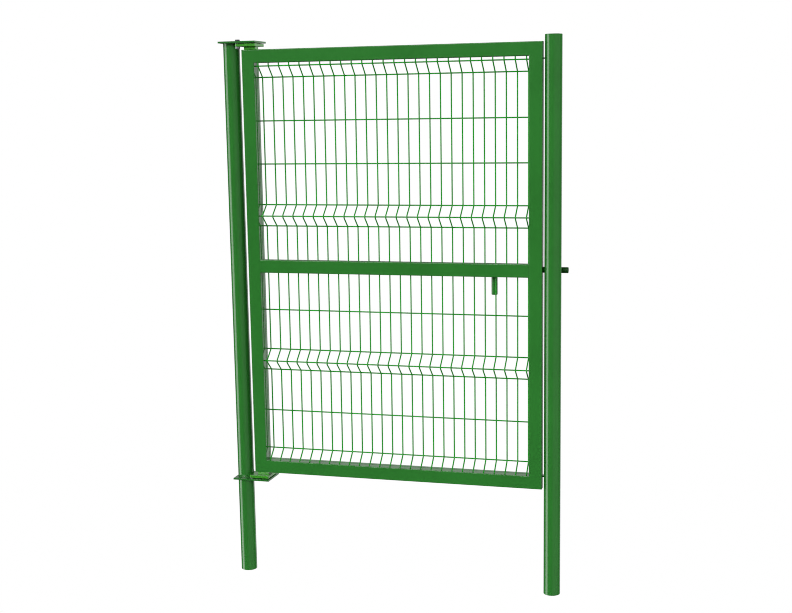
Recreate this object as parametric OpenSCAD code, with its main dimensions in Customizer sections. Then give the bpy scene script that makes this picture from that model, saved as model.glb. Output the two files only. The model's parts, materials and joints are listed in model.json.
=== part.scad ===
// Single-leaf swing gate: a welded box-section leaf with a V-folded mesh panel,
// two round posts, a pivot hinge at the top and the bottom, and a sliding bar latch.
// Millimetres, +Z up, +X from the hinge post to the latch post, +Y to the back.
// The origin is the centre of the hinge post's foot.

/* [Leaf] */
// Width of the leaf over its two stiles
leaf_w = 1398.5; // [1000:0.5:1800]
// Height of the leaf over its top and bottom rails
leaf_h = 2004; // [1500:1:2400]
// Height of the leaf's bottom edge above the feet of the posts
leaf_lift = 501.5; // [300:0.5:800]
// Width of a frame tube across its front face
tube_face = 60; // [50:1:80]
// Depth of a frame tube from front to back
tube_depth = 40; // [30:1:60]
// Wall of a frame tube
tube_wall = 2; // [1.5:0.5:3]
// Outer corner radius of a frame tube
tube_corner = 3; // [2:0.5:4]
// Height of the middle rail's centre above the leaf's bottom edge
mid_rail_height = 1002; // [700:1:1300]

/* [Batten behind the frame] */
// Side of the square tube that carries the mesh behind the frame
batten = 25; // [20:1:30]
// Wall of the square batten tube
batten_wall = 2; // [1:0.5:3]

/* [Mesh] */
// Diameter across a mesh wire
wire = 5; // [4:0.5:6]
// Spacing of the upright wires
wire_pitch = 50; // [40:5:60]
// Distance from the hinge stile to the first upright wire
wire_start = 17; // [10:1:30]
// Spacing of the level wires between two folds
row_pitch = 200; // [150:10:250]
// Depth that a fold stands forward of the mesh
fold_depth = 53; // [30:1:55]
// Length of a level wire's end that laps over the battens
wire_lap = 15; // [10:1:20]
// Height from a fold's edge to its ridge
fold_half = 50; // [40:1:60]
// Distance between the ridges of two folds
fold_pitch = 690.5; // [600:0.5:800]
// Distance from the top rail down to the ridge of the top half fold
top_ridge_drop = 15.5; // [10:0.5:30]
// Least distance left between a level wire and the next fold
row_gap = 60; // [40:5:100]

/* [Posts] */
// Outside diameter of both posts
post_d = 76; // [60:1:90]
// Wall of both posts
post_wall = 3; // [2:0.5:4]
// Clear width between the hinge post and the leaf
hinge_gap = 23; // [18:1:40]
// Clear width between the leaf and the latch post
latch_gap = 5.2; // [5:0.1:20]
// Thickness of the latch post's cap above the tube
cap_t = 3; // [2:0.5:5]
// Depth of the cap's spigot inside the post
cap_spigot = 12; // [8:1:20]
// Radial clearance of the cap's spigot
cap_clear = 0.2; // [0.1:0.1:0.5]

/* [Hinge] */
// Thickness of the fixed hinge plates
plate_t = 8; // [6:1:12]
// Thickness of the hinge arms on the leaf
arm_t = 12.5; // [8:0.5:16]
// Thickness of the block between the leaf and its top arm
top_block_t = 14.5; // [11:0.5:18]
// Thickness of the block between the leaf and its bottom arm
bottom_block_t = 11.5; // [8:0.5:18]
// Running gap between a hinge arm and its fixed plate
run_gap = 3; // [2:0.5:5]
// Distance of the pivot from the hinge post's centre, along the gate
pivot_x = 49.5; // [46:0.5:56]
// Distance of the pivot in front of the posts' centre line
pivot_front = 45; // [40:0.5:55]
// Radius of the hinge arm's nose around the pivot
nose_r = 12; // [11:0.5:14]
// Reach of the fixed plate past the hinge post, away from the leaf
plate_lip = 0.5; // [0.5:0.5:20]
// Reach of the fixed plate beyond the post's centre, towards the leaf
plate_right = 143; // [120:1:170]
// Reach of the fixed plate in front of the posts' centre line
plate_front = 70; // [60:1:90]
// Reach of the fixed plate behind the posts' centre line
plate_back = 72; // [50:1:90]
// Reach of the hinge arm beyond the post's centre, towards the leaf
arm_right = 138; // [110:1:165]
// Reach of the hinge arm behind the posts' centre line
arm_back = 57; // [40:1:80]
// Clear width between the hinge arm's straight edge and the post
arm_clear = 10; // [6:1:14]
// Distance from the leaf's outer edge to the hinge block
block_inset = 14; // [6:1:20]
// Length of the hinge block along the leaf
block_len = 55; // [40:1:80]
// Diameter of the pivot bolt and the pivot pin
bolt_d = 12; // [10:1:14]
// Radial clearance of the pivot bolt and pin in the hinge arms
bolt_clear = 0.3; // [0.2:0.1:0.5]
// Width across the flats of the bolt head and the nut
hex_flats = 19; // [17:1:22]
// Height of the bolt head
head_h = 7.5; // [6:0.5:9]
// Height of the nut
nut_h = 10; // [8:0.5:12]
// Length of bolt that shows past the nut
bolt_tail = 3; // [2:0.5:6]
// Outside diameter of the hinge washers
washer_d = 24; // [22:1:28]
// Clearance left at each running face of the hinges
face_clear = 0.3; // [0.2:0.1:0.5]

/* [Latch] */
// Diameter of the sliding bar
bar_d = 27; // [20:1:32]
// Distance of the bar's centre below the middle rail's centre
bar_drop = 3; // [-15:0.5:15]
// Clear space between the back of the latch post and the bar
bar_clear = 5; // [5:0.5:10]
// Length of bar that stands out beyond the latch post
bar_out = 22.8; // [15:0.1:60]
// Length of bar left beyond the handle's centre, at its inner end
handle_in = 26; // [20:1:40]
// Clear width between the handle and the inner guide when the bar is locked
handle_gap = 10.5; // [2:0.5:30]
// Diameter of the handle
handle_d = 28; // [20:1:30]
// Reach of the handle below the bar's centre
handle_drop = 118; // [80:1:150]
// Length of each bar guide along the bar
guide_len = 24; // [18:1:24]
// Wall of the bar guides
guide_wall = 4.5; // [3:0.5:6]
// Radial clearance of the bar in its guides
guide_clear = 0.5; // [0.3:0.1:0.8]
// Thickness of the tabs that carry the guides
tab_t = 8; // [5:1:10]
// Distance from the leaf's latch edge to the outer guide
outer_guide_inset = 10.5; // [3:0.5:11]
// Number of upright wires between the inner guide and the latch stile
inner_guide_wires = 3; // [3:1:4]

/* [Stops] */
// Thickness of a closing stop
stop_t = 5; // [4:1:8]
// Depth of a closing stop from front to back
stop_depth = 28; // [20:1:40]
// Length of a closing stop behind the latch stile
stop_overlap = 21.5; // [12:0.5:30]
// Clearance between the closed leaf and its stops
stop_clear = 0.5; // [0.3:0.1:1]
// Distance of the upper stop below the leaf's top edge
upper_stop_drop = 71.5; // [60:0.5:200]
// Distance of the lower stop above the leaf's bottom edge
lower_stop_rise = 51; // [40:0.5:200]

/* [Hidden] */

$fn = 64;
corner_fn = 32;
// Cuts run this far past the faces they cut, and joined solids lap this little
over = 1;
lap = 0.01;

// The leaf with its battens is centred on the posts from front to back.
leaf_depth = tube_depth + batten;
leaf_front = -leaf_depth / 2;
tube_back = leaf_front + tube_depth;
batten_back = tube_back + batten;
leaf_left = post_d / 2 + hinge_gap;
leaf_right = leaf_left + leaf_w;
leaf_bottom = leaf_lift;
leaf_top = leaf_lift + leaf_h;
open_left = leaf_left + tube_face;
open_right = leaf_right - tube_face;
open_bottom = leaf_bottom + tube_face;
open_top = leaf_top - tube_face;
mid_rail_z = leaf_bottom + mid_rail_height;

// Posts and the hinge stack
latch_x = leaf_right + latch_gap + post_d / 2;
upper_arm_z = leaf_top + top_block_t;
lower_arm_z = leaf_bottom - bottom_block_t - arm_t;
plate_left = post_d / 2 + plate_lip;
post_top = upper_arm_z + arm_t + run_gap;
lower_plate_top = lower_arm_z - run_gap;
arm_left = post_d / 2 + arm_clear;
pivot_y = -pivot_front;
washer_t = run_gap - 2 * face_clear;

// Latch
bar_y = post_d / 2 + bar_clear + bar_d / 2;
bar_z = mid_rail_z - bar_drop;
bar_right = latch_x + post_d / 2 + bar_out;
guide_r = bar_d / 2 + guide_clear + guide_wall;

// Mesh: level wires lie on the backs of the battens, upright wires in front of them
upright_y = batten_back - wire / 2;
level_y = batten_back + wire / 2;
wire_count = floor((open_right - open_left - 2 * wire - wire_start) / wire_pitch) + 1;
first_wire_x = open_left + wire_start;
top_ridge_z = open_top - top_ridge_drop;
ridge_span = top_ridge_z - open_bottom;
fold_count = floor((ridge_span - 2 * fold_half - row_gap) / fold_pitch);

// Ridge heights from the top: the top half fold, the full folds and the bottom half fold
ridges = concat([for (k = [0:fold_count]) top_ridge_z - k * fold_pitch], [open_bottom]);

function bay(k) = ridges[k] - ridges[k + 1];
function bay_rows(k) = floor((bay(k) - 2 * fold_half - row_gap) / row_pitch);

// Heights of the level wires that lie in the flat of the mesh
flat_rows = [for (k = [0:fold_count])
    each concat([for (j = [0:bay_rows(k)]) ridges[k] - fold_half - j * row_pitch],
                [ridges[k + 1] + fold_half])];
// Heights of the level wires that lie in the ridge of a fold
ridge_rows = [for (k = [0:fold_count]) ridges[k]];

// Centre line of an upright wire, from the top rail to the bottom rail
wire_line = concat(
    [[upright_y - fold_depth, open_top]],
    [for (k = [0:fold_count]) each [
        if (k > 0) [upright_y, ridges[k] + fold_half],
        [upright_y - fold_depth, ridges[k]],
        [upright_y, ridges[k] - fold_half]
    ]],
    [[upright_y, open_bottom + fold_half], [upright_y - fold_depth, open_bottom]]);

// The inner guide stands midway between two upright wires, and the handle beside it
inner_guide_x = first_wire_x + (wire_count - inner_guide_wires - 0.5) * wire_pitch;
outer_guide_x = leaf_right - outer_guide_inset - guide_len / 2;
handle_x = inner_guide_x - guide_len / 2 - handle_gap - handle_d / 2;
bar_left = handle_x - handle_in;
bar_len = bar_right - bar_left;

module rounded_rectangle(w, h, r) {
    square([w - 2 * r, h], center = true);
    square([w, h - 2 * r], center = true);
    for (x = [-1, 1], y = [-1, 1])
        translate([x * (w / 2 - r), y * (h / 2 - r)]) circle(r = r, $fn = corner_fn);
}

// Hollow box section, standing along Z from the origin
module box_tube(w, h, wall, corner, length) {
    linear_extrude(length)
        difference() {
            rounded_rectangle(w, h, corner);
            rounded_rectangle(w - 2 * wall, h - 2 * wall, corner / 2);
        }
}

// Upright and level members of a mitred frame that spans x0..x1 and z0..z1,
// made of tubes w wide and d deep whose front is at y0.
module mitred_upright(x0, x1, z0, z1, y0, w, d, wall, corner, at_left) {
    height = z1 - z0;
    intersection() {
        translate([at_left ? x0 + w / 2 : x1 - w / 2, y0 + d / 2, z0])
            box_tube(w, d, wall, corner, height);
        translate([at_left ? x0 : x1, y0 + d + over, z0])
            rotate([90, 0, 0])
                linear_extrude(d + 2 * over)
                    mirror([at_left ? 0 : 1, 0])
                        polygon([[0, 0], [w, w], [w, height - w], [0, height]]);
    }
}

module mitred_level(x0, x1, z0, z1, y0, w, d, wall, corner, at_bottom) {
    width = x1 - x0;
    intersection() {
        translate([x0, y0 + d / 2, at_bottom ? z0 + w / 2 : z1 - w / 2])
            rotate([0, 90, 0])
                box_tube(w, d, wall, corner, width);
        translate([x0, y0 + d + over, at_bottom ? z0 : z1])
            rotate([90, 0, 0])
                linear_extrude(d + 2 * over)
                    mirror([0, at_bottom ? 0 : 1])
                        polygon([[0, 0], [width, 0], [width - w, w], [w, w]]);
    }
}

module frame_upright(at_left) {
    mitred_upright(leaf_left, leaf_right, leaf_bottom, leaf_top, leaf_front,
                   tube_face, tube_depth, tube_wall, tube_corner, at_left);
}

module frame_level(at_bottom) {
    mitred_level(leaf_left, leaf_right, leaf_bottom, leaf_top, leaf_front,
                 tube_face, tube_depth, tube_wall, tube_corner, at_bottom);
}

module batten_upright(at_left) {
    mitred_upright(open_left - batten, open_right + batten,
                   open_bottom - batten, open_top + batten, tube_back,
                   batten, batten, batten_wall, tube_corner, at_left);
}

module batten_level(at_bottom) {
    mitred_level(open_left - batten, open_right + batten,
                 open_bottom - batten, open_top + batten, tube_back,
                 batten, batten, batten_wall, tube_corner, at_bottom);
}

module post(x, height) {
    translate([x, 0, 0])
        difference() {
            cylinder(d = post_d, h = height);
            translate([0, 0, -over]) cylinder(d = post_d - 2 * post_wall, h = height + 2 * over);
        }
}

module fixed_plate(z) {
    difference() {
        translate([-plate_left, -plate_front, z])
            cube([plate_left + plate_right, plate_front + plate_back, plate_t]);
        translate([pivot_x, pivot_y, z - over]) cylinder(d = bolt_d, h = plate_t + 2 * over);
    }
}

// Hinge arm: a plate with a round nose at the pivot, cut back clear of the post
module hinge_arm(z) {
    difference() {
        union() {
            translate([pivot_x, pivot_y, z]) cylinder(r = nose_r, h = arm_t);
            translate([pivot_x, pivot_y - nose_r, z])
                cube([arm_right - pivot_x, arm_back - pivot_y + nose_r, arm_t]);
            translate([arm_left, pivot_y, z])
                cube([arm_right - arm_left, arm_back - pivot_y, arm_t]);
        }
        translate([pivot_x, pivot_y, z - over])
            cylinder(d = bolt_d + 2 * bolt_clear, h = arm_t + 2 * over);
    }
}

module hinge_block(z, thickness) {
    translate([leaf_left + block_inset, leaf_front, z])
        cube([block_len, tube_depth, thickness]);
}

module hexagon_head(z, height) {
    translate([pivot_x, pivot_y, z])
        rotate(30) cylinder(d = hex_flats / cos(30), h = height, $fn = 6);
}

module washer(z) {
    translate([pivot_x, pivot_y, z])
        difference() {
            cylinder(d = washer_d, h = washer_t);
            translate([0, 0, -over]) cylinder(d = bolt_d + 2 * bolt_clear, h = washer_t + 2 * over);
        }
}

// Closing stop: a flat tongue on the latch post, just behind the latch stile
module closing_stop(z) {
    color("darkgreen")
        difference() {
            translate([leaf_right - stop_overlap, tube_back + stop_clear, z - stop_t / 2])
                cube([latch_x - leaf_right + stop_overlap, stop_depth, stop_t]);
            translate([latch_x, 0, z - stop_t]) cylinder(d = post_d, h = 2 * stop_t);
        }
}

module bar_guide(x) {
    color("green")
        difference() {
            union() {
                translate([x - guide_len / 2, bar_y, bar_z])
                    rotate([0, 90, 0]) cylinder(r = guide_r, h = guide_len);
                translate([x - guide_len / 2, tube_back, bar_z - tab_t / 2])
                    cube([guide_len, bar_y - tube_back, tab_t]);
            }
            translate([x - guide_len / 2 - over, bar_y, bar_z])
                rotate([0, 90, 0]) cylinder(r = bar_d / 2 + guide_clear, h = guide_len + 2 * over);
        }
}

module hinge_post() {
    color("forestgreen") post(0, post_top);
}

module latch_post() {
    color("forestgreen") post(latch_x, post_top - cap_t);
}

module latch_post_cap() {
    color("forestgreen")
        translate([latch_x, 0, post_top - cap_t]) {
            cylinder(d = post_d, h = cap_t);
            translate([0, 0, -cap_spigot])
                cylinder(d = post_d - 2 * post_wall - 2 * cap_clear, h = cap_spigot + lap);
        }
}

module top_hinge_plate() {
    color("darkgreen") fixed_plate(post_top);
}

module bottom_hinge_plate() {
    color("darkgreen")
        difference() {
            fixed_plate(lower_plate_top - plate_t);
            translate([0, 0, lower_plate_top - plate_t - over])
                cylinder(d = post_d, h = plate_t + 2 * over);
        }
}

module top_pivot_bolt() {
    shank_bottom = upper_arm_z - face_clear - nut_h - bolt_tail;
    color("dimgray") {
        hexagon_head(post_top + plate_t, head_h);
        translate([pivot_x, pivot_y, shank_bottom])
            cylinder(d = bolt_d, h = post_top + plate_t - shank_bottom + lap);
    }
}

module top_pivot_nut() {
    color("silver")
        difference() {
            hexagon_head(upper_arm_z - face_clear - nut_h, nut_h);
            translate([pivot_x, pivot_y, upper_arm_z - nut_h - over])
                cylinder(d = bolt_d, h = nut_h + 2 * over);
        }
}

// A plain pin in the lower plate, flush with the top of the lower arm
module bottom_pivot_pin() {
    color("dimgray")
        translate([pivot_x, pivot_y, lower_plate_top - plate_t])
            cylinder(d = bolt_d, h = lower_arm_z + arm_t - lower_plate_top + plate_t);
}

module top_hinge_washer() {
    color("silver") washer(upper_arm_z + arm_t + face_clear);
}

module bottom_hinge_washer() {
    color("silver") washer(lower_plate_top + face_clear);
}

module upper_stop() {
    closing_stop(leaf_top - upper_stop_drop);
}

module lower_stop() {
    closing_stop(leaf_bottom + lower_stop_rise);
}

module hinge_stile() {
    color("forestgreen") frame_upright(true);
}

module latch_stile() {
    color("forestgreen") frame_upright(false);
}

module top_rail() {
    color("forestgreen") frame_level(false);
}

module bottom_rail() {
    color("forestgreen") frame_level(true);
}

module middle_rail() {
    color("forestgreen")
        translate([open_left, leaf_front + tube_depth / 2, mid_rail_z])
            rotate([0, 90, 0])
                box_tube(tube_face, tube_depth, tube_wall, tube_corner, open_right - open_left);
}

module hinge_side_batten() {
    color("seagreen") batten_upright(true);
}

module latch_side_batten() {
    color("seagreen") batten_upright(false);
}

module top_batten() {
    color("seagreen") batten_level(false);
}

module bottom_batten() {
    color("seagreen") batten_level(true);
}

// Outline of a bent wire seen from the side: its centre line, moved half a wire each way
module upright_wire() {
    half = wire / 2;
    linear_extrude(wire, center = true)
        polygon(concat(
            [for (p = wire_line) [p[0] - half, p[1]]],
            [for (k = [len(wire_line) - 1:-1:0]) [wire_line[k][0] + half, wire_line[k][1]]]));
}

module level_wire(x0, x1, y, z) {
    translate([x0, y - wire / 2, z - wire / 2]) cube([x1 - x0, wire, wire]);
}

module mesh_panel() {
    color("limegreen") {
        for (i = [0:wire_count - 1])
            translate([first_wire_x + i * wire_pitch, 0, 0])
                multmatrix([[0, 0, 1, 0], [1, 0, 0, 0], [0, 1, 0, 0]]) upright_wire();
        for (z = flat_rows)
            level_wire(open_left - wire_lap, open_right + wire_lap, level_y, z);
        for (z = ridge_rows)
            level_wire(open_left, open_right, level_y - fold_depth, z);
    }
}

module top_hinge_arm() {
    color("limegreen") hinge_arm(upper_arm_z);
}

module bottom_hinge_arm() {
    color("limegreen") hinge_arm(lower_arm_z);
}

module top_hinge_block() {
    color("limegreen") hinge_block(leaf_top, top_block_t);
}

module bottom_hinge_block() {
    color("limegreen") hinge_block(leaf_bottom - bottom_block_t, bottom_block_t);
}

module outer_bar_guide() {
    bar_guide(outer_guide_x);
}

module inner_bar_guide() {
    bar_guide(inner_guide_x);
}

module latch_bar() {
    color("darkgreen")
        translate([bar_left, bar_y, bar_z])
            rotate([0, 90, 0]) cylinder(d = bar_d, h = bar_len);
}

module latch_handle() {
    color("darkgreen")
        difference() {
            translate([handle_x, bar_y, bar_z - handle_drop])
                cylinder(d = handle_d, h = handle_drop);
            translate([bar_left - over, bar_y, bar_z])
                rotate([0, 90, 0]) cylinder(d = bar_d, h = bar_len);
        }
}

hinge_post();
latch_post();
latch_post_cap();
top_hinge_plate();
bottom_hinge_plate();
top_pivot_bolt();
top_pivot_nut();
bottom_pivot_pin();
top_hinge_washer();
bottom_hinge_washer();
upper_stop();
lower_stop();
hinge_stile();
latch_stile();
top_rail();
middle_rail();
bottom_rail();
hinge_side_batten();
latch_side_batten();
top_batten();
bottom_batten();
mesh_panel();
top_hinge_arm();
bottom_hinge_arm();
top_hinge_block();
bottom_hinge_block();
outer_bar_guide();
inner_bar_guide();
latch_bar();
latch_handle();
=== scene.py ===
"""Looks of a single-leaf mesh swing gate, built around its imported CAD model."""

import json
import math
import random

import bmesh
import bpy
from mathutils import Matrix, Vector
from mathutils import noise as perlin


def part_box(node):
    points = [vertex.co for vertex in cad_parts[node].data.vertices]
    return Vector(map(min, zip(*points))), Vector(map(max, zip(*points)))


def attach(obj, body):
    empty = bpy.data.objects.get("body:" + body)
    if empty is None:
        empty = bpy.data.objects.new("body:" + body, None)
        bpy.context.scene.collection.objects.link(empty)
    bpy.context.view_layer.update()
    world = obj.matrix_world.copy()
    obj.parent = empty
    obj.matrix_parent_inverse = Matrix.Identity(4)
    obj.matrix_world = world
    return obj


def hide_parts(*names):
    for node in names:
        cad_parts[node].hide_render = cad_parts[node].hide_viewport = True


bl_info = {
    "name": "Mesh Swing Gate",
    "version": (1, 0, 0),
    "blender": (4, 5, 0),
    "location": "View3D > Sidebar > Gate",
    "description": "Dresses a welded swing gate: coated tubes, folded wire panel, hinges and bar latch",
    "category": "Object",
}

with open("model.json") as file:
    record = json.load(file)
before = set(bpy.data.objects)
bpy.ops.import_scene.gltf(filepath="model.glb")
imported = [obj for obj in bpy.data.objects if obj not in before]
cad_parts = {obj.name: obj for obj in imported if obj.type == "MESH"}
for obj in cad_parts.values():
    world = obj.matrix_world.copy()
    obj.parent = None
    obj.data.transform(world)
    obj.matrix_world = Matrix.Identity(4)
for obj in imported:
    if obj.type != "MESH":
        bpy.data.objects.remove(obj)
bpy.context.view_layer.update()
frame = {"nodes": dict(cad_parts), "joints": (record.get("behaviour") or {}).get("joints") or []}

MM = 0.001


# ---------------- sizes taken from the frame


def low(node):
    """Lowest corner of a CAD node."""
    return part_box(node)[0]


def high(node):
    """Highest corner of a CAD node."""
    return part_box(node)[1]


def middle(node):
    """Centre of a CAD node's box."""
    return (low(node) + high(node)) / 2


PIVOT = Vector(next(joint["pos_m"] for joint in frame["joints"] if joint["name"] == "leaf_swing"))
POST_RADIUS = (high("hinge_post").x - low("hinge_post").x) / 2
OPENING_LEFT = high("hinge_stile").x
OPENING_RIGHT = low("latch_stile").x
OPENING_BOTTOM = high("bottom_rail").z
OPENING_TOP = low("top_rail").z
BATTEN_BACK = high("hinge_side_batten").y


# Gaps and insets that every copy of the gate shares
SPIGOT_SLACK = 0.2 * MM
PIVOT_SLACK = 0.3 * MM
LEAST_CHAMFER = 0.2 * MM
SEAM_INSET = 3 * MM
GUIDE_SEAM_INSET = 2 * MM

# Weld beads: how they ripple and end, and the smaller ones as shares of the full bead's radius
BEAD_STEP = 1.6 * MM
RIPPLE_LENGTH = 1.1 * MM
RIPPLE, UNEVENNESS, LUMPS_PER_METRE = 0.10, 0.16, 160
BEAD_END = 0.55
BLOCK_BEAD, RAIL_BEAD, TACK_BEAD = 0.8, 0.7, 0.6


def length_property(name, description, default):
    """A length that a user may change."""
    return bpy.props.FloatProperty(name=name, description=description, default=default, unit="LENGTH")


def angle_property(name, description, degrees):
    """An angle that a user may change."""
    return bpy.props.FloatProperty(
        name=name, description=description, default=math.radians(degrees), unit="ROTATION")


def tone_property(name, description, default):
    """The brightness of a light, where 1 is white."""
    return bpy.props.FloatProperty(name=name, description=description, default=default, min=0)


def colour_property(name, description, default):
    """A colour swatch for the panel."""
    return bpy.props.FloatVectorProperty(
        name=name, description=description, default=default, size=3, min=0, max=1, subtype="COLOR")


class GateSizes(bpy.types.PropertyGroup):
    """Sizes of the finish that a user may change."""

    post_wall: length_property("Post wall", "Wall of the round posts", 3 * MM)
    edge_break: length_property("Edge break", "Chamfer on the edges of plates, arms and cut ends", 0.8 * MM)
    arm_clear: length_property(
        "Arm clearance", "Gap between the hinge post and the straight edge of a hinge arm", 10 * MM)
    bolt_radius: length_property("Pivot radius", "Radius of the pivot bolt and pin", 6 * MM)
    thread_pitch: length_property("Thread pitch", "Pitch of the pivot bolt's thread", 1.75 * MM)
    guide_slack: length_property("Guide slack", "Radial gap between the latch bar and its guides", 0.5 * MM)
    wire_radius: length_property("Wire radius", "Radius of the bare mesh wires", 2.5 * MM)
    wire_coat: length_property("Wire coat", "Thickness of the coat on the wires", 0.5 * MM)
    wire_pitch: length_property("Wire pitch", "Spacing of the upright wires", 50 * MM)
    wire_start: length_property(
        "First wire", "Distance from the hinge stile to the first upright wire", 17 * MM)
    row_pitch: length_property("Row pitch", "Spacing of the level wires between folds", 200 * MM)
    row_gap: length_property("Row gap", "Least distance between a level wire and the next fold", 60 * MM)
    fold_depth: length_property("Fold depth", "Depth that a fold stands forward of the mesh", 53 * MM)
    fold_half: length_property("Fold half height", "Height from a fold's edge to its ridge", 50 * MM)
    fold_pitch: length_property("Fold pitch", "Distance between the ridges of two folds", 690.5 * MM)
    top_ridge_drop: length_property(
        "Top ridge drop", "Distance from the top rail down to the first ridge", 15.5 * MM)
    bend_radius: length_property("Bend radius", "Radius of a wire's centre line at a fold", 11 * MM)
    bead_radius: length_property("Bead radius", "Radius of the weld beads", 2.2 * MM)


class GateColours(bpy.types.PropertyGroup):
    """Colours of the coats and metals."""

    frame_green: colour_property(
        "Frame green", "Powder coat of the posts and the leaf", (0.024, 0.176, 0.024))
    plate_green: colour_property(
        "Plate green", "Powder coat of the fixed plates and stops", (0.018, 0.145, 0.019))
    hinge_green: colour_property(
        "Hinge green", "Powder coat of the hinge arms and blocks", (0.045, 0.285, 0.018))
    wire_green: colour_property("Wire green", "Coat of the mesh wires", (0.004, 0.290, 0.005))
    # The latch colour is the bar's own green plus painted shade: it is darkened well below the frame green
    # to stand in for the shade the bar sits in.
    latch_green_with_painted_shade: colour_property(
        "Latch green", "Powder coat of the sliding bar and its guides", (0.006, 0.055, 0.006))
    zinc: colour_property("Zinc", "Plating of the nut and the washers", (0.24, 0.25, 0.27))
    dark_steel: colour_property(
        "Dark steel", "Blackened steel of the pivot bolt and pin", (0.060, 0.064, 0.070))
    floor: colour_property("Floor", "Plain pale floor", (1.0, 1.0, 1.0))


# ---------------- shader maths


class Value:
    """An output socket of a paint's node tree that can be used in Python sums."""

    def __init__(self, paint, socket):
        self.paint = paint
        self.socket = socket

    def maths(self, operation, first, second):
        return self.paint.node("ShaderNodeMath", {"operation": operation}, {0: first, 1: second})

    def __add__(self, other):
        return self.maths("ADD", self, other)

    def __rsub__(self, other):
        return self.maths("SUBTRACT", other, self)

    def __mul__(self, other):
        return self.maths("MULTIPLY", self, other)

    def __truediv__(self, other):
        return self.maths("DIVIDE", self, other)

    def __pow__(self, other):
        return self.maths("POWER", self, other)

    __radd__ = __add__
    __rmul__ = __mul__

    def between(self, start, end):
        """0 below start, 1 above end, smooth in between."""
        return self.paint.node(
            "ShaderNodeMapRange", {"interpolation_type": "SMOOTHSTEP"},
            {"Value": self, "From Min": start, "From Max": end})


class Paint:
    """A node tree under construction."""

    def __init__(self, owner):
        owner.use_nodes = True
        self.tree = owner.node_tree
        self.tree.nodes.clear()

    def node(self, kind, settings=None, sockets=None, output=0):
        """Adds a node, sets it up, feeds its sockets and returns one of its outputs."""
        made = self.tree.nodes.new(kind)
        for key, value in (settings or {}).items():
            setattr(made, key, value)
        for key, value in (sockets or {}).items():
            if isinstance(value, Value):
                self.tree.links.new(value.socket, made.inputs[key])
            else:
                made.inputs[key].default_value = value
        return Value(self, made.outputs[output]) if made.outputs else None

    def place(self):
        """Coordinates fixed to the piece, in metres."""
        return self.node("ShaderNodeTexCoord", output="Object")

    def grain(self, scale, detail=2.0, stretch=(1, 1, 1)):
        """Noise from 0 to 1 with about `scale` cells to the metre."""
        where = self.node(
            "ShaderNodeMapping", {"vector_type": "POINT"}, {"Vector": self.place(), "Scale": stretch})
        return self.node("ShaderNodeTexNoise", None, {"Vector": where, "Scale": scale, "Detail": detail})

    def blend(self, factor, first, second):
        """One colour going over into another."""
        return self.node(
            "ShaderNodeMix", {"data_type": "RGBA"}, {"Factor": factor, 6: first, 7: second}, output=2)

    def facing_up(self):
        """1 on faces that look up, 0 on all others."""
        normal = self.node("ShaderNodeNewGeometry", output="Normal")
        return self.node("ShaderNodeSeparateXYZ", None, {"Vector": normal}, output="Z").between(0.7, 1.0)

    def bump(self, height, distance, strength):
        """A bumped normal, its distance in metres."""
        return self.node(
            "ShaderNodeBump", None, {"Height": height, "Distance": distance, "Strength": strength})


def opaque(colour, gain=1.0):
    """An RGBA colour, lightened or darkened."""
    return tuple(min(1.0, channel * gain) for channel in colour) + (1.0,)


def material(name):
    """A new material and the paint that fills it."""
    made = bpy.data.materials.new(name)
    return made, Paint(made)


def surface(paint, shader):
    """Makes a shader the surface of the material."""
    paint.node("ShaderNodeOutputMaterial", None, {"Surface": shader})


def principled(paint, sockets):
    """A surface of the standard shader."""
    surface(paint, paint.node("ShaderNodeBsdfPrincipled", None, sockets))


def powder_coat(name, colour, gloss=0.10, sheen=0.5):
    """Glossy polyester powder coat: faint orange peel, thin and thick areas, a little dust on top faces."""
    made, paint = material(name)
    clouds = paint.grain(4.0, 3.0)
    drift = paint.grain(38.0, 4.0)
    specks = paint.grain(900.0, 1.0).between(0.70, 0.82)
    peel = paint.grain(420.0, 2.0)
    dust = paint.facing_up() * paint.grain(55.0, 5.0).between(0.35, 0.75) * 0.10
    coat = paint.blend(clouds.between(0.30, 0.70), opaque(colour, 0.94), opaque(colour, 1.06))
    coat = paint.blend(drift.between(0.35, 0.80) * 0.35, coat, opaque(colour, 1.12))
    coat = paint.blend(specks * 0.12, coat, opaque(colour, 0.70))
    coat = paint.blend(dust, coat, (0.42, 0.43, 0.40, 1.0))
    roughness = gloss + drift * 0.05 + dust * 1.5
    principled(paint, {
        "Base Color": coat,
        "Roughness": roughness,
        "Specular IOR Level": sheen,
        "Normal": paint.bump(peel, 0.06 * MM, 0.5),
    })
    return made


def coated_wire(name, colour):
    """Drawn wire under a coat: faint drawing marks along it and a satin gloss."""
    made, paint = material(name)
    clouds = paint.grain(9.0, 3.0)
    marks = paint.grain(260.0, 3.0)
    coat = paint.blend(clouds.between(0.30, 0.70), opaque(colour, 0.92), opaque(colour, 1.08))
    coat = paint.blend(marks.between(0.55, 0.85) * 0.15, coat, opaque(colour, 1.35))
    principled(paint, {
        "Base Color": coat,
        "Roughness": 0.22 + marks * 0.12,
        "IOR": 1.42,
        "Normal": paint.bump(marks, 0.05 * MM, 0.4),
    })
    return made


def plated_steel(name, colour):
    """Zinc-plated steel with its cloudy bluish finish and fine turning marks."""
    made, paint = material(name)
    clouds = paint.grain(160.0, 4.0)
    marks = paint.grain(900.0, 3.0, stretch=(1, 1, 6))
    tone = paint.blend(clouds.between(0.30, 0.70), opaque(colour, 0.80), opaque(colour, 1.15))
    principled(paint, {
        "Base Color": tone,
        "Metallic": 1.0,
        "Roughness": 0.36 + clouds * 0.18,
        "Normal": paint.bump(marks, 0.03 * MM, 0.5),
    })
    return made


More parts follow.
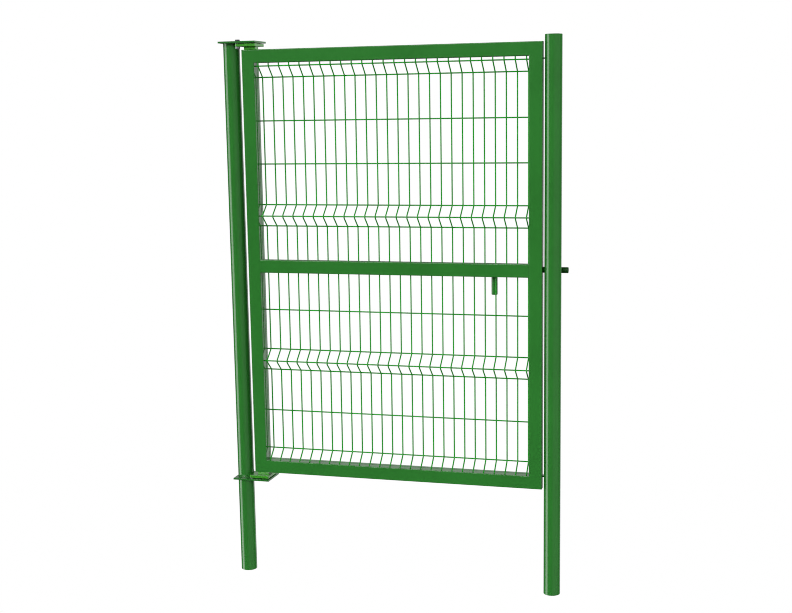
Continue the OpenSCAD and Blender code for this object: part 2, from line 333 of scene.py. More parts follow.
def blackened_steel(name, colour):
    """Oiled black steel with lighter rubbed patches."""
    made, paint = material(name)
    clouds = paint.grain(120.0, 4.0)
    marks = paint.grain(700.0, 3.0)
    rubbed = clouds.between(0.55, 0.80)
    principled(paint, {
        "Base Color": paint.blend(rubbed * 0.5, opaque(colour), opaque(colour, 3.0)),
        "Metallic": 0.35 + rubbed * 0.45,
        "Roughness": 0.50 - rubbed * 0.18,
        "Normal": paint.bump(marks, 0.04 * MM, 0.5),
    })
    return made


FINISHES = {
    "frame": lambda c: powder_coat("frame_powder_coat", c.frame_green),
    "plate": lambda c: powder_coat("plate_powder_coat", c.plate_green, gloss=0.16, sheen=0.35),
    "hinge": lambda c: powder_coat("hinge_powder_coat", c.hinge_green, gloss=0.14),
    "wire": lambda c: coated_wire("coated_wire", c.wire_green),
    # The latch coat's dark green carries painted shade as well as the coat's own colour.
    "latch": lambda c: powder_coat("latch_powder_coat_with_painted_shade", c.latch_green_with_painted_shade, gloss=0.30, sheen=0.12),
    "zinc": lambda c: plated_steel("zinc_plating", c.zinc),
    "steel": lambda c: blackened_steel("blackened_steel", c.dark_steel),
}
made_finishes = {}


def finish(kind):
    """The material of a kind, made once."""
    if kind not in made_finishes:
        made_finishes[kind] = FINISHES[kind](bpy.context.scene.gate_colours)
    return made_finishes[kind]


# ---------------- mesh building


def coat_nodes(kind, *nodes):
    """Gives CAD nodes that keep their own shape a finish."""
    for node in nodes:
        shape = frame["nodes"][node]
        for slot in shape.material_slots:
            slot.material = finish(kind)


CRISP, MACHINED, ROUNDED = 20, 35, 75  # degrees between faces up to which a piece is shaded smooth


def add_piece(name, shape, kind, body, replaces=(), smooth_angle=MACHINED):
    """Turns a bmesh into a finished piece that rides on a body."""
    mesh = bpy.data.meshes.new(name)
    bmesh.ops.recalc_face_normals(shape, faces=shape.faces)
    shape.to_mesh(mesh)
    shape.free()
    mesh.shade_smooth()
    mesh.set_sharp_from_angle(angle=math.radians(smooth_angle))
    piece = bpy.data.objects.new(name, mesh)
    bpy.context.scene.collection.objects.link(piece)
    mesh.materials.append(finish(kind))
    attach(piece, body)
    if replaces:
        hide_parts(*replaces)
    return piece


def skin_rings(shape, rings, closed=False, capped=False):
    """Joins rings of points with faces. Closed rings of rings meet end to end."""
    made = [[shape.verts.new(point) for point in ring] for ring in rings]
    count = len(made[0])
    pairs = list(zip(made, made[1:]))
    if closed:
        pairs.append((made[-1], made[0]))
    for first, second in pairs:
        for k in range(count):
            n = (k + 1) % count
            shape.faces.new((first[k], first[n], second[n], second[k]))
    if capped and not closed:
        shape.faces.new(reversed(made[0]))
        shape.faces.new(made[-1])


def arc(x, y, radius, start, end, steps):
    """Points along an arc, its angles in degrees."""
    points = []
    for k in range(steps + 1):
        angle = math.radians(start + (end - start) * k / steps)
        points.append((x + radius * math.cos(angle), y + radius * math.sin(angle)))
    return points


def circle(x, y, radius, steps=48):
    """Points round a circle."""
    return arc(x, y, radius, 0, 360, steps)[:-1]


def turn(shape, profile, place, segments=96, closed=False):
    """Turns a profile of (radius, height) about Z, then puts it at a place."""
    rings = []
    for radius, height in profile:
        rings.append([place @ Vector((x, y, height)) for x, y in circle(0, 0, radius, segments)])
    skin_rings(shape, rings, closed=closed, capped=not closed)


def upright_at(x, y):
    """A place whose Z runs up a post or a pivot."""
    return Matrix.Translation((x, y, 0.0))


def level_at(x, y, z):
    """A place whose Z runs along the gate."""
    return Matrix.Translation((x, y, z)) @ Matrix.Rotation(math.pi / 2, 4, "Y")


def tube_profile(outer, inner, start, end, chamfer):
    """Wall section of a round tube with broken edges."""
    return [
        (inner, start + chamfer), (inner + chamfer, start),
        (outer - chamfer, start), (outer, start + chamfer),
        (outer, end - chamfer), (outer - chamfer, end),
        (inner + chamfer, end), (inner, end - chamfer),
    ]


def rod_profile(radius, start, end, chamfer):
    """Half section of a solid rod with broken edges."""
    return [
        (radius - chamfer, start), (radius, start + chamfer),
        (radius, end - chamfer), (radius - chamfer, end),
    ]


def add_block(shape, lowest, highest, chamfer):
    """A rectangular block with broken edges."""
    made = bmesh.ops.create_cube(shape, size=1.0)
    spot = (Vector(lowest) + Vector(highest)) / 2
    size = Vector(highest) - Vector(lowest)
    bmesh.ops.scale(shape, vec=size, verts=made["verts"])
    bmesh.ops.translate(shape, vec=spot, verts=made["verts"])
    edges = [edge for edge in shape.edges if edge.verts[0] in made["verts"]]
    bmesh.ops.bevel(shape, geom=edges, offset=chamfer, segments=2, profile=0.5, affect="EDGES")


def cut_plate(outlines, bottom, top, chamfer):
    """A flat plate cut to outlines of (x, y) points, holes included, with broken edges."""
    curve = bpy.data.curves.new("cut_plate", "CURVE")
    curve.dimensions = "2D"
    curve.fill_mode = "BOTH"
    curve.extrude = (top - bottom) / 2 - chamfer
    curve.bevel_depth = chamfer
    curve.bevel_resolution = 1
    curve.offset = -chamfer
    for outline in outlines:
        spline = curve.splines.new("POLY")
        spline.points.add(len(outline) - 1)
        for point, (x, y) in zip(spline.points, outline):
            point.co = (x, y, 0.0, 1.0)
        spline.use_cyclic_u = True
    holder = bpy.data.objects.new("cut_plate", curve)
    bpy.context.scene.collection.objects.link(holder)
    bpy.context.view_layer.update()
    mesh = bpy.data.meshes.new_from_object(holder.evaluated_get(bpy.context.evaluated_depsgraph_get()))
    shape = bmesh.new()
    shape.from_mesh(mesh)
    bmesh.ops.remove_doubles(shape, verts=shape.verts, dist=0.01 * MM)
    bmesh.ops.translate(shape, vec=(0, 0, (bottom + top) / 2), verts=shape.verts)
    bpy.data.objects.remove(holder)
    bpy.data.curves.remove(curve)
    bpy.data.meshes.remove(mesh)
    return shape


def sweep(shape, path, radii, sides, closed=False):
    """A round bar along a path of points, with its own radius at each."""
    count = len(path)
    rings = []
    side = None
    for k, point in enumerate(path):
        before = path[k - 1] if closed or k > 0 else point
        after = path[(k + 1) % count] if closed or k < count - 1 else point
        along = (after - before).normalized()
        if side is None:
            side = along.orthogonal().normalized()
        side = (side - along * side.dot(along)).normalized()
        up = along.cross(side)
        rings.append([point + side * x + up * y for x, y in circle(0, 0, radii[k], sides)])
    skin_rings(shape, rings, closed=closed, capped=not closed)


def add_bead(shape, points, radius, closed=False):
    """A weld bead along a route: a row of overlapping ripples of uneven size."""
    route = [Vector(point) for point in points]
    if closed:
        route.append(route[0])
    path, radii = [], []
    travelled = 0.0
    for start, end in zip(route, route[1:]):
        pieces = max(1, round((end - start).length / BEAD_STEP))
        for k in range(pieces):
            spot = start.lerp(end, k / pieces)
            travelled += (end - start).length / pieces
            ripple = RIPPLE * math.sin(travelled / RIPPLE_LENGTH)
            ripple += UNEVENNESS * perlin.noise(spot * LUMPS_PER_METRE)
            path.append(spot)
            radii.append(radius * (1 + ripple))
    if not closed:
        path.append(route[-1])
        radii.append(radius * BEAD_END)
        radii[0] = radius * BEAD_END
    sweep(shape, path, radii, 8, closed=closed)


def add_stitches(shape, start, end, count, length, radius):
    """Short weld beads spaced evenly along a seam."""
    start, end = Vector(start), Vector(end)
    along = (end - start).normalized()
    for k in range(count):
        spot = start.lerp(end, (k + 0.5) / count)
        add_bead(shape, (spot - along * length / 2, spot + along * length / 2), radius)


# ---------------- mesh panel


def ridge_heights(sizes):
    """Heights of the fold ridges from the top rail down, and of the bottom rail."""
    first = OPENING_TOP - sizes.top_ridge_drop
    folds = math.floor(
        (first - OPENING_BOTTOM - 2 * sizes.fold_half - sizes.row_gap) / sizes.fold_pitch)
    return [first - k * sizes.fold_pitch for k in range(folds + 1)] + [OPENING_BOTTOM]


def flat_row_heights(sizes):
    """Heights of the level wires that lie in the flat of the panel."""
    ridges = ridge_heights(sizes)
    rows = []
    for above, below in zip(ridges, ridges[1:]):
        free = above - below - 2 * sizes.fold_half - sizes.row_gap
        for j in range(math.floor(free / sizes.row_pitch) + 1):
            rows.append(above - sizes.fold_half - j * sizes.row_pitch)
        rows.append(below + sizes.fold_half)
    return rows


def ridge_corner(sizes):
    """Depth of the corner of a fold whose rounded ridge reaches the fold's depth."""
    depth = sizes.fold_depth
    for _ in range(6):
        half_turn = math.atan2(depth, sizes.fold_half)
        depth = sizes.fold_depth + sizes.bend_radius * (1 / math.cos(half_turn) - 1)
    return depth


def upright_route(sizes, x, flat_y):
    """Corners of an upright wire, from the top rail to the bottom rail."""
    ridges = ridge_heights(sizes)
    half = sizes.fold_half
    outer = flat_y - sizes.fold_depth
    route = [(outer, OPENING_TOP), (outer, ridges[0]), (flat_y, ridges[0] - half)]
    for ridge in ridges[1:-1]:
        route += [(flat_y, ridge + half), (flat_y - ridge_corner(sizes), ridge), (flat_y, ridge - half)]
    route += [(flat_y, OPENING_BOTTOM + half), (outer, OPENING_BOTTOM)]
    return [Vector((x, y, z)) for y, z in route]


def round_corners(route, radius, steps=5):
    """The same route with an arc at each inner corner."""
    path = [route[0]]
    for before, corner, after in zip(route, route[1:], route[2:]):
        come = (before - corner).normalized()
        leave = (after - corner).normalized()
        half_angle = come.angle(leave) / 2
        reach = radius / math.tan(half_angle)
        centre = corner + (come + leave).normalized() * radius / math.sin(half_angle)
        start = corner + come * reach - centre
        end = corner + leave * reach - centre
        for k in range(steps + 1):
            path.append(centre + start.slerp(end, k / steps).normalized() * radius)
    path.append(route[-1])
    return path


def add_nugget(shape, spot, size, lean):
    """The squeezed metal where two wires are welded."""
    squeeze = Matrix.Diagonal((size * lean, size * 0.55, size, 1.0))
    bmesh.ops.create_icosphere(shape, subdivisions=1, radius=1.0, matrix=Matrix.Translation(spot) @ squeeze)


# ---------------- operators


class GATE_OT_posts(bpy.types.Operator):
    """Round posts with saw-cut feet, and the rounded cap of the latch post"""

    bl_idname = "gate.posts"
    bl_label = "Posts"

    def execute(self, context):
        sizes = context.scene.gate_sizes
        for node in ("hinge_post", "latch_post"):
            spot = middle(node)
            wall = tube_profile(POST_RADIUS, POST_RADIUS - sizes.post_wall,
                                low(node).z, high(node).z, sizes.edge_break * 0.6)
            shape = bmesh.new()
            turn(shape, wall, upright_at(spot.x, spot.y), closed=True)
            add_piece(node + "_tube", shape, "frame", "posts", [node])
        self.cap(sizes)
        return {"FINISHED"}

    def cap(self, sizes):
        """A cap with a rounded rim, and a spigot that goes into the post."""
        spot = middle("latch_post_cap")
        bottom, top = low("latch_post_cap").z, high("latch_post_cap").z
        seat = high("latch_post").z
        spigot = POST_RADIUS - sizes.post_wall - SPIGOT_SLACK
        rim = min(2 * MM, top - seat - 0.5 * MM)
        profile = [(spigot - sizes.edge_break, bottom), (spigot, bottom + sizes.edge_break), (spigot, seat)]
        profile += [(POST_RADIUS, seat), (POST_RADIUS, top - rim)]
        for degrees in (22, 45, 67, 90):
            angle = math.radians(degrees)
            profile.append((POST_RADIUS - rim + rim * math.cos(angle), top - rim + rim * math.sin(angle)))
        shape = bmesh.new()
        turn(shape, profile, upright_at(spot.x, spot.y))
        add_piece("latch_post_cap_moulded", shape, "frame", "posts", ["latch_post_cap"])


class GATE_OT_fixed_plates(bpy.types.Operator):
    """Fixed hinge plates on the hinge post, and the closing stops on the latch post"""

    bl_idname = "gate.fixed_plates"
    bl_label = "Fixed plates and stops"

    def execute(self, context):
        sizes = context.scene.gate_sizes
        post = middle("hinge_post")
        for node, passes_post in (("top_hinge_plate", False), ("bottom_hinge_plate", True)):
            lowest, highest = low(node), high(node)
            left, front, right, back = lowest.x, lowest.y, highest.x, highest.y
            outlines = [[(left, front), (right, front), (right, back), (left, back)],
                        circle(PIVOT.x, PIVOT.y, sizes.bolt_radius)]
            if passes_post:
                outlines.append(circle(post.x, post.y, POST_RADIUS, 96))
            land = post.x - POST_RADIUS - left  # what the plate leaves beside the post
            chamfer = max(min(sizes.edge_break, land), LEAST_CHAMFER)
            shape = cut_plate(outlines, lowest.z, highest.z, chamfer)
            add_piece(node + "_cut", shape, "plate", "posts", [node], smooth_angle=CRISP)
        self.post_welds(sizes, post)
        coat_nodes("plate", "upper_stop", "lower_stop")
        self.stop_welds(sizes)
        return {"FINISHED"}

    def post_welds(self, sizes, post):
        """Beads round the post at the plates, open at the far left where the plates end."""
        shape = bmesh.new()
        seams = (low("top_hinge_plate").z, high("bottom_hinge_plate").z, low("bottom_hinge_plate").z)
        for height in seams:
            ring = [(x, y, height) for x, y in circle(post.x, post.y, POST_RADIUS, 120)]
            bead_end = post.x - POST_RADIUS * 0.93
            start = next(k for k, point in enumerate(ring) if point[0] <= bead_end)
            route = [point for point in ring[start:] + ring[:start] if point[0] > bead_end]
            add_bead(shape, route, sizes.bead_radius)
        add_piece("post_plate_welds", shape, "frame", "posts", smooth_angle=ROUNDED)

    def stop_welds(self, sizes):
        """Beads above and below each stop, along the round of the latch post."""
        post = middle("latch_post")
        steps = 12
        shape = bmesh.new()
        for node in ("upper_stop", "lower_stop"):
            front, back = low(node).y, min(high(node).y, post.y + POST_RADIUS * 0.9)
            for height in (low(node).z, high(node).z):
                seam = []
                for k in range(steps + 1):
                    y = front + (back - front) * k / steps
                    seam.append((post.x - math.sqrt(POST_RADIUS ** 2 - (y - post.y) ** 2), y, height))
                add_bead(shape, seam, sizes.bead_radius * RAIL_BEAD)
        add_piece("stop_welds", shape, "plate", "posts", smooth_angle=ROUNDED)


class GATE_OT_leaf_frame(bpy.types.Operator):
    """Mitred tube frame with its middle rail, the battens behind it, and their welds"""

    bl_idname = "gate.leaf_frame"
    bl_label = "Leaf frame"

    def execute(self, context):
        sizes = context.scene.gate_sizes
        coat_nodes("frame", "hinge_stile", "latch_stile", "top_rail", "middle_rail", "bottom_rail")
        coat_nodes("frame", "hinge_side_batten", "latch_side_batten", "top_batten", "bottom_batten")
        self.rail_welds(sizes)
        self.batten_welds(sizes)
        return {"FINISHED"}

    def rail_welds(self, sizes):
        """Beads above, below and behind the middle rail's ends."""
        lowest, highest = low("middle_rail"), high("middle_rail")
        front, back = lowest.y + SEAM_INSET, highest.y - SEAM_INSET
        shape = bmesh.new()
        for x in (OPENING_LEFT, OPENING_RIGHT):
            for start, end in (
                    ((x, front, highest.z), (x, back, highest.z)),
                    ((x, front, lowest.z), (x, back, lowest.z)),
                    ((x, highest.y, lowest.z + SEAM_INSET), (x, highest.y, highest.z - SEAM_INSET))):
                add_bead(shape, (start, end), sizes.bead_radius * RAIL_BEAD)
        add_piece("middle_rail_welds", shape, "frame", "leaf", smooth_angle=ROUNDED)

    def batten_welds(self, sizes):
        """Stitches along the outer corner between the battens and the backs of the tubes."""
        left, right = low("hinge_side_batten").x, high("latch_side_batten").x
        bottom, top = low("bottom_batten").z, high("top_batten").z
        seam_y = high("hinge_stile").y
        stitch, upright_stitches, level_stitches = 36 * MM, 7, 5
        shape = bmesh.new()
        for x in (left, right):
            add_stitches(shape, (x, seam_y, bottom), (x, seam_y, top),
                         upright_stitches, stitch, sizes.bead_radius)
        for z in (bottom, top):
            add_stitches(shape, (left, seam_y, z), (right, seam_y, z),
                         level_stitches, stitch, sizes.bead_radius)
        add_piece("batten_welds", shape, "frame", "leaf", smooth_angle=ROUNDED)


class GATE_OT_mesh_panel(bpy.types.Operator):
    """Welded panel of round wires with V folds, its crossings and its welds to the battens"""

    bl_idname = "gate.mesh_panel"
    bl_label = "Mesh panel"

    def execute(self, context):
        sizes = context.scene.gate_sizes
        radius = sizes.wire_radius
        coated = radius + sizes.wire_coat
        flat_y = BATTEN_BACK - radius
        level_y = BATTEN_BACK + radius
        ends = (low("mesh_panel").x, high("mesh_panel").x)
        uprights = self.upright_places(sizes)
        flat_rows = flat_row_heights(sizes)
        ridges = ridge_heights(sizes)[:-1]
        levels = [(z, level_y, ends) for z in flat_rows]
        levels += [(z, level_y - sizes.fold_depth, (OPENING_LEFT, OPENING_RIGHT)) for z in ridges]

        shape = bmesh.new()
        for x in uprights:
            path = round_corners(upright_route(sizes, x, flat_y), sizes.bend_radius)
            sweep(shape, path, [coated] * len(path), 12)
        for z, y, (start, end) in levels:
            turn(shape, rod_profile(coated, 0.0, end - start, 0.4 * MM), level_at(start, y, z), segments=12)
        add_piece("mesh_wires", shape, "wire", "leaf", ["mesh_panel"], smooth_angle=ROUNDED)
        self.crossings(uprights, levels, radius, coated)
        self.end_welds(flat_rows, ends, radius, sizes)
        return {"FINISHED"}

    def upright_places(self, sizes):
        """Places of the upright wires, as many as fit between the stiles."""
        clear = OPENING_RIGHT - OPENING_LEFT - 4 * sizes.wire_radius - sizes.wire_start
        count = math.floor(clear / sizes.wire_pitch) + 1
        return [OPENING_LEFT + sizes.wire_start + k * sizes.wire_pitch for k in range(count)]

    def crossings(self, uprights, levels, radius, coated):
        """A nugget of uneven size where each level wire crosses an upright one."""
        chance = random.Random(7)
        shape = bmesh.new()
        for z, y, _ in levels:
            for x in uprights:
                size = coated * chance.uniform(0.75, 1.0)
                add_nugget(shape, (x, y - radius, z), size, chance.uniform(0.9, 1.2))
        add_piece("mesh_crossing_welds", shape, "wire", "leaf", smooth_angle=ROUNDED)

    def end_welds(self, rows, ends, radius, sizes):
        """Tack welds that hold the level wires to the backs of the battens."""
        length = OPENING_LEFT - ends[0] - 2 * SEAM_INSET
        shape = bmesh.new()
        for z in rows:
            for start in (ends[0] + SEAM_INSET, ends[1] - SEAM_INSET - length):
                for side in (-1, 1):
                    seam = z + side * radius
                    add_bead(shape, ((start, BATTEN_BACK, seam), (start + length, BATTEN_BACK, seam)),
                             sizes.bead_radius * TACK_BEAD)
        add_piece("mesh_tack_welds", shape, "frame", "leaf", smooth_angle=ROUNDED)


class GATE_OT_hinge_arms(bpy.types.Operator):
    """Hinge arms of the leaf, the blocks that carry them, and their welds"""

    bl_idname = "gate.hinge_arms"
    bl_label = "Hinge arms"

    def execute(self, context):
        sizes = context.scene.gate_sizes
        for node in ("top_hinge_arm", "bottom_hinge_arm"):
            shape = cut_plate(self.arm_outlines(node, sizes), low(node).z, high(node).z, sizes.edge_break)
            add_piece(node + "_cut", shape, "hinge", "leaf", [node], smooth_angle=CRISP)
        welds = bmesh.new()
        for node in ("top_hinge_block", "bottom_hinge_block"):
            lowest, highest = low(node), high(node)
            shape = bmesh.new()
            add_block(shape, lowest, highest, sizes.edge_break)
            add_piece(node + "_cut", shape, "hinge", "leaf", [node], smooth_angle=CRISP)
            for x in (lowest.x, highest.x):
                for z in (lowest.z, highest.z):
                    add_bead(welds, ((x, lowest.y + SEAM_INSET, z), (x, highest.y - SEAM_INSET, z)),
                             sizes.bead_radius * BLOCK_BEAD)
        add_piece("hinge_block_welds", welds, "hinge", "leaf", smooth_angle=ROUNDED)
        return {"FINISHED"}

    def arm_outlines(self, node, sizes):
        """Rounded at the pivot, straight beside the post, square at the far side."""
        lowest, highest = low(node), high(node)
        nose = PIVOT.y - lowest.y
        straight = POST_RADIUS + sizes.arm_clear
        flank = math.degrees(math.acos((straight - PIVOT.x) / nose))
        outline = arc(PIVOT.x, PIVOT.y, nose, flank, 270, 20)
        outline += [(highest.x, lowest.y), (highest.x, highest.y), (straight, highest.y)]
        return [outline, circle(PIVOT.x, PIVOT.y, sizes.bolt_radius + PIVOT_SLACK)]


PIVOT_LINE = upright_at(PIVOT.x, PIVOT.y)
HEXAGON_STEPS = 72  # points round a hexagon head or a nut
THREAD_STEPS = 32  # points round a screw thread


class GATE_OT_pivots(bpy.types.Operator):
    """Pivot bolt with its nut at the top, pivot pin at the bottom, and the washers"""

    bl_idname = "gate.pivots"
    bl_label = "Pivots"

    def execute(self, context):
        sizes = context.scene.gate_sizes
        self.bolt(sizes)
        self.nut(sizes)
        pin = rod_profile(
            sizes.bolt_radius, low("bottom_pivot_pin").z, high("bottom_pivot_pin").z, sizes.edge_break)
        shape = bmesh.new()
        turn(shape, pin, PIVOT_LINE, segments=48)
        add_piece("bottom_pivot_pin_turned", shape, "steel", "posts", ["bottom_pivot_pin"])
        for node in ("top_hinge_washer", "bottom_hinge_washer"):
            shape = bmesh.new()
            ring = tube_profile(high(node).x - PIVOT.x, sizes.bolt_radius + PIVOT_SLACK,
                                low(node).z, high(node).z, 0.3 * MM)
            turn(shape, ring, PIVOT_LINE, segments=48, closed=True)
            add_piece(node + "_turned", shape, "zinc", "posts", [node])
        return {"FINISHED"}

    def hexagon_rings(self, flats, bottom, top, chamfered_below):
        """Rings of a hexagon from its lower face to its upper one, where a cone cuts its corners."""
        half = flats / 2
        face = half * 0.97
        slope = math.tan(math.radians(30))
        rings = [[], [], [], []]
        for k in range(HEXAGON_STEPS):
            angle = math.tau * k / HEXAGON_STEPS
            from_flat = (angle + math.pi / 6) % (math.pi / 3) - math.pi / 6
            corner = half / math.cos(from_flat)
            drop = (corner - face) * slope
            side_bottom = bottom + (drop if chamfered_below else 0)
            stations = ((face, bottom), (corner, side_bottom), (corner, top - drop), (face, top))
            for ring, (reach, height) in zip(rings, stations):
                flat = Vector((reach * math.cos(angle), reach * math.sin(angle), height))
                ring.append(PIVOT_LINE @ flat)
        return rings

    def bolt(self, sizes):
        """A hexagon head above the top plate, and a threaded shank below it."""
        node = "top_pivot_bolt"
        head_bottom = high("top_hinge_plate").z
        rings = self.hexagon_rings(high(node).x - low(node).x, head_bottom, high(node).z, False)
        shape = bmesh.new()
        skin_rings(shape, rings)
        shape.faces.new([shape.verts.new(point) for point in rings[-1]])
        bmesh.ops.remove_doubles(shape, verts=shape.verts, dist=0.01 * MM)
        self.thread(shape, low(node).z, head_bottom, sizes)
        add_piece("top_pivot_bolt_hexagon", shape, "steel", "posts", [node])

    def thread(self, shape, bottom, top, sizes):
        """A screw thread as rings whose radius follows a ramp round the bolt, tapered at its end."""
        pitch = sizes.thread_pitch
        depth = 0.6 * pitch
        end = 0.80
        steps = math.ceil((top - bottom) / (pitch / 8))
        rings = []
        for j in range(steps + 1):
            z = bottom + (top - bottom) * j / steps
            taper = min(1.0, end + (z - bottom) / pitch * (1 - end))
            ring = []
            for k in range(THREAD_STEPS):
                angle = math.tau * k / THREAD_STEPS
                phase = (z / pitch - k / THREAD_STEPS) % 1.0
                radius = (sizes.bolt_radius - depth * abs(2 * phase - 1)) * taper
                x, y = PIVOT.x + radius * math.cos(angle), PIVOT.y + radius * math.sin(angle)
                ring.append(Vector((x, y, z)))
            rings.append(ring)
        skin_rings(shape, rings, capped=True)

    def nut(self, sizes):
        """A hexagon nut with a chamfered bore."""
        node = "top_pivot_nut"
        bottom, top = low(node).z, high(node).z
        rings = self.hexagon_rings(high(node).x - low(node).x, bottom, top, True)
        bore, chamfer = sizes.bolt_radius, 0.8 * MM
        for radius, z in ((bore + chamfer, top), (bore, top - chamfer),
                          (bore, bottom + chamfer), (bore + chamfer, bottom)):
            around = circle(PIVOT.x, PIVOT.y, radius, HEXAGON_STEPS)
            rings.append([Vector((x, y, z)) for x, y in around])
        shape = bmesh.new()
        skin_rings(shape, rings, closed=True)
        add_piece("top_pivot_nut_hexagon", shape, "zinc", "posts", [node])


class GATE_OT_latch(bpy.types.Operator):
    """Sliding bar with its handle, and the guides that carry it"""

    bl_idname = "gate.latch"
    bl_label = "Latch"

    def execute(self, context):
        sizes = context.scene.gate_sizes
        bar = middle("latch_bar")
        radius = high("latch_bar").y - bar.y
        shape = bmesh.new()
        turn(shape, rod_profile(radius, low("latch_bar").x, high("latch_bar").x, 1.2 * MM),
             level_at(0.0, bar.y, bar.z), segments=64)
        add_piece("latch_bar_turned", shape, "latch", "latch", ["latch_bar"])
        self.handle(bar, radius, sizes)
        for node in ("outer_bar_guide", "inner_bar_guide"):
            self.guide(node, bar, radius, sizes)
        return {"FINISHED"}

    def handle(self, bar, bar_radius, sizes):
        """A round grip with a softened end, welded to the underside of the bar."""
        spot = middle("latch_handle")
        radius = high("latch_handle").x - spot.x
        bottom, soft = low("latch_handle").z, 3 * MM
        profile = arc(radius - soft, bottom + soft, soft, -90, 0, 3)
        profile += [(radius, bar.z - bar_radius * 0.3), (radius * 0.55, bar.z)]  # hidden inside the bar
        shape = bmesh.new()
        turn(shape, profile, upright_at(spot.x, spot.y), segments=64)
        add_piece("latch_handle_turned", shape, "frame", "latch", ["latch_handle"])
        seam = []
        for x, y in circle(0.0, 0.0, radius, 64):
            drop = math.sqrt(bar_radius ** 2 - min(abs(y), bar_radius) ** 2)
            seam.append((spot.x + x, spot.y + y, bar.z - drop))
        shape = bmesh.new()
        add_bead(shape, seam, sizes.bead_radius * RAIL_BEAD, closed=True)
        add_piece("latch_handle_weld", shape, "latch", "latch", smooth_angle=ROUNDED)

    def guide(self, node, bar, bar_radius, sizes):
        """A short tube round the bar on a flat tab, welded above and below at both ends of the tab."""
        lowest, highest = low(node), high(node)
        outer = highest.y - bar.y
        wall = tube_profile(outer, bar_radius + sizes.guide_slack, lowest.x, highest.x, sizes.edge_break)
        shape = bmesh.new()
        turn(shape, wall, level_at(0.0, bar.y, bar.z), segments=64, closed=True)
        tab, lap = 4 * MM, 1.5 * MM
        add_block(shape, (lowest.x, lowest.y, bar.z - tab),
                  (highest.x, bar.y - bar_radius - lap, bar.z + tab), sizes.edge_break)
        left, right = lowest.x + GUIDE_SEAM_INSET, highest.x - GUIDE_SEAM_INSET
        tube_front = bar.y - math.sqrt(outer ** 2 - tab ** 2)
        for side in (-1, 1):
            z = bar.z + side * tab
            for y in (lowest.y, tube_front):
                add_bead(shape, ((left, y, z), (right, y, z)), sizes.bead_radius * BLOCK_BEAD)
        add_piece(node + "_welded", shape, "latch", "leaf", [node])


class StageSettings(bpy.types.PropertyGroup):
    """Camera and light."""

    camera_place: bpy.props.FloatVectorProperty(
        name="Camera place", description="Where the camera stands", default=(2.4443, -5.8697, 2.2297),
        subtype="TRANSLATION", unit="LENGTH")
    camera_turn: angle_property("Camera turn", "Turn of the camera to the left", 16.1085)
    camera_dip: angle_property("Camera dip", "Tilt of the camera below level", 9.3842)
    camera_roll: angle_property("Camera roll", "Roll of the camera about its own axis", -0.9339)
    focal_length: bpy.props.FloatProperty(
        name="Focal length", description="Focal length on a 36 mm wide sensor, in millimetres",
        default=60.64)
    shift: bpy.props.FloatVectorProperty(
        name="Shift", description="Lens shift as a share of the picture's width",
        size=2, default=(0.0060, 0.0279))
    film_softness: bpy.props.FloatProperty(
        name="Film softness", description="How widely the film blurs an edge", default=1.0)
    strip_tone: tone_property("Strip light", "Brightness of the tall light at the left", 3.6)
    strip_heading: angle_property(
        "Strip heading", "Where the tall light stands, turned to the right from straight in front", -71)
    bank_tone: tone_property(
        "Front light", "Brightness of the raised soft light in front, at the left", 10.4)
    bank_heading: angle_property(
        "Front light heading", "Where the raised front light stands, as for the strip", -14)
    fill_tone: tone_property("Fill light", "Brightness of the raised soft light at the right", 8.2)
    fill_heading: angle_property(
        "Fill light heading", "Where the raised fill light stands, as for the strip", 106)
    top_tone: tone_property("Overhead light", "Brightness of the studio's ceiling", 0.2)
    front_tone: tone_property("Front wall", "Brightness of the wall and floor in front of the gate", 0.075)
    side_tone: tone_property("Side wall", "Brightness of the wall at the right", 0.30)
    side_heading: angle_property("Side wall heading", "Where the side wall stands, as for the strip", 58)
    back_tone: tone_property("Back wall", "Brightness of the wall behind the gate, at the right", 0.95)
    back_heading: angle_property("Back wall heading", "Where the wall is bright, as for the strip", 158)
    sky_tone: tone_property(
        "Back wall top", "Brightness of the wall behind the gate, high up at the left", 0.66)
    sky_heading: angle_property(
        "Back wall top heading", "Where the wall is bright high up, as for the strip", -165)
    floor_reach: length_property("Floor reach", "Half width of the floor", 3.0)


